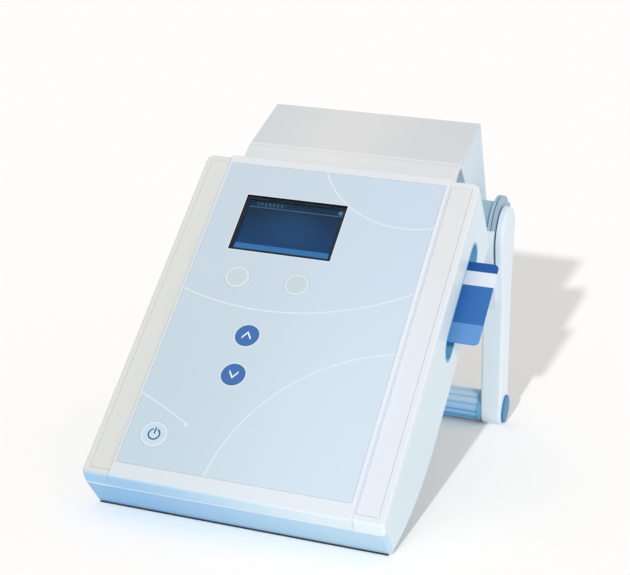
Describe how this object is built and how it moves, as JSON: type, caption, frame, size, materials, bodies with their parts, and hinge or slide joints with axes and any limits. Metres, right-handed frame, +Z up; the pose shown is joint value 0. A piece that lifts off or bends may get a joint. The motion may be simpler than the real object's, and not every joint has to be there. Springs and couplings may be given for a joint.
{
  "type": "bedside body composition monitor",
  "caption": "Portable bedside body fluid monitor with a sloping keypad and display, a chip card slot, a rear block and a folding handle that props it up.",
  "frame": {"origin": "middle of the front foot's sole, on the table", "axes": "+Z up, +Y from the front foot to the rear along the table, +X to the side of the card slot"},
  "size_m": [0.1862, 0.2842, 0.196],
  "materials": {
    "housing_plastic": "fine satin, white",
    "tray_plastic": "fine satin, very pale blue",
    "strip_plastic": "satin",
    "keypad_foil": "satin printed foil",
    "key_plastic": "satin, printed symbols",
    "window_glass": "clear, flush",
    "display": "dark panel",
    "foam": "matt foam and friction lining",
    "circuit_board": "solder mask",
    "dark_plastic": "matt",
    "insert_plastic": "matt blue-grey",
    "hinge_plastic": "matt blue-grey",
    "grip_rubber": "fluted, matt",
    "foot_rubber": "matt",
    "card_plastic": "printed card",
    "steel": "bright"
  },
  "bodies": {
    "housing": {"battery_door": "tray_plastic", "battery_pack": "dark_plastic", "bottom_shell": "tray_plastic", "card_reader": "dark_plastic", "card_slot_bezel": "insert_plastic", "charging_socket": "insert_plastic", "display_gasket": "foam", "display_module": "display", "display_window": "window_glass", "dome_switches": "steel", "front_foil": "keypad_foil", "front_foot": "foot_rubber", "front_plate": "housing_plastic", "hinge_hub_left": "hinge_plastic", "hinge_hub_right": "hinge_plastic", "housing_screws": "steel", "keypad_board": "circuit_board", "main_board": "circuit_board", "patient_cable_socket": "insert_plastic", "power_module": "circuit_board", "reader_spacers": "dark_plastic", "rear_block": "tray_plastic", "rear_hood": "housing_plastic", "speaker": "dark_plastic", "top_shell": "housing_plastic", "trim_strip_left": "strip_plastic", "trim_strip_right": "strip_plastic"},
    "handle": {"end_cap_left": "hinge_plastic", "end_cap_right": "hinge_plastic", "friction_washer_left": "foam", "friction_washer_right": "foam", "grip_collar_left": "hinge_plastic", "grip_collar_right": "hinge_plastic", "grip_sleeve": "grip_rubber", "grip_tube": "steel", "handle_arm_left": "housing_plastic", "handle_arm_right": "housing_plastic", "handle_disc_left": "hinge_plastic", "handle_disc_right": "hinge_plastic", "pivot_pin_left": "steel", "pivot_pin_right": "steel"},
    "card": {"patient_card": "card_plastic"},
    "key_power_body": {"key_power": "key_plastic"},
    "key_down_body": {"key_down": "key_plastic"},
    "key_up_body": {"key_up": "key_plastic"},
    "key_display_left_body": {"key_display_left": "key_plastic"},
    "key_display_right_body": {"key_display_right": "key_plastic"}
  },
  "joints": [
    {"name": "handle_hinge", "type": "hinge", "parent": "housing", "child": "handle", "pos_m": [0, 0.19735, 0.13049], "axis": [1, 0, 0], "range_deg": [-60, 205]},
    {"name": "card_slide", "type": "slide", "parent": "housing", "child": "card", "axis": [1, 0, 0], "range_m": [0, 0.072]},
    {"name": "key_power_press", "type": "slide", "parent": "housing", "child": "key_power_body", "axis": [0, 0.6877, -0.726], "range_m": [0, 0.0005], "stiffness_N_per_m": 1500},
    {"name": "key_down_press", "type": "slide", "parent": "housing", "child": "key_down_body", "axis": [0, 0.6877, -0.726], "range_m": [0, 0.0005], "stiffness_N_per_m": 1500},
    {"name": "key_up_press", "type": "slide", "parent": "housing", "child": "key_up_body", "axis": [0, 0.6877, -0.726], "range_m": [0, 0.0005], "stiffness_N_per_m": 1500},
    {"name": "key_display_left_press", "type": "slide", "parent": "housing", "child": "key_display_left_body", "axis": [0, 0.6877, -0.726], "range_m": [0, 0.0005], "stiffness_N_per_m": 1500},
    {"name": "key_display_right_press", "type": "slide", "parent": "housing", "child": "key_display_right_body", "axis": [0, 0.6877, -0.726], "range_m": [0, 0.0005], "stiffness_N_per_m": 1500}
  ]
}
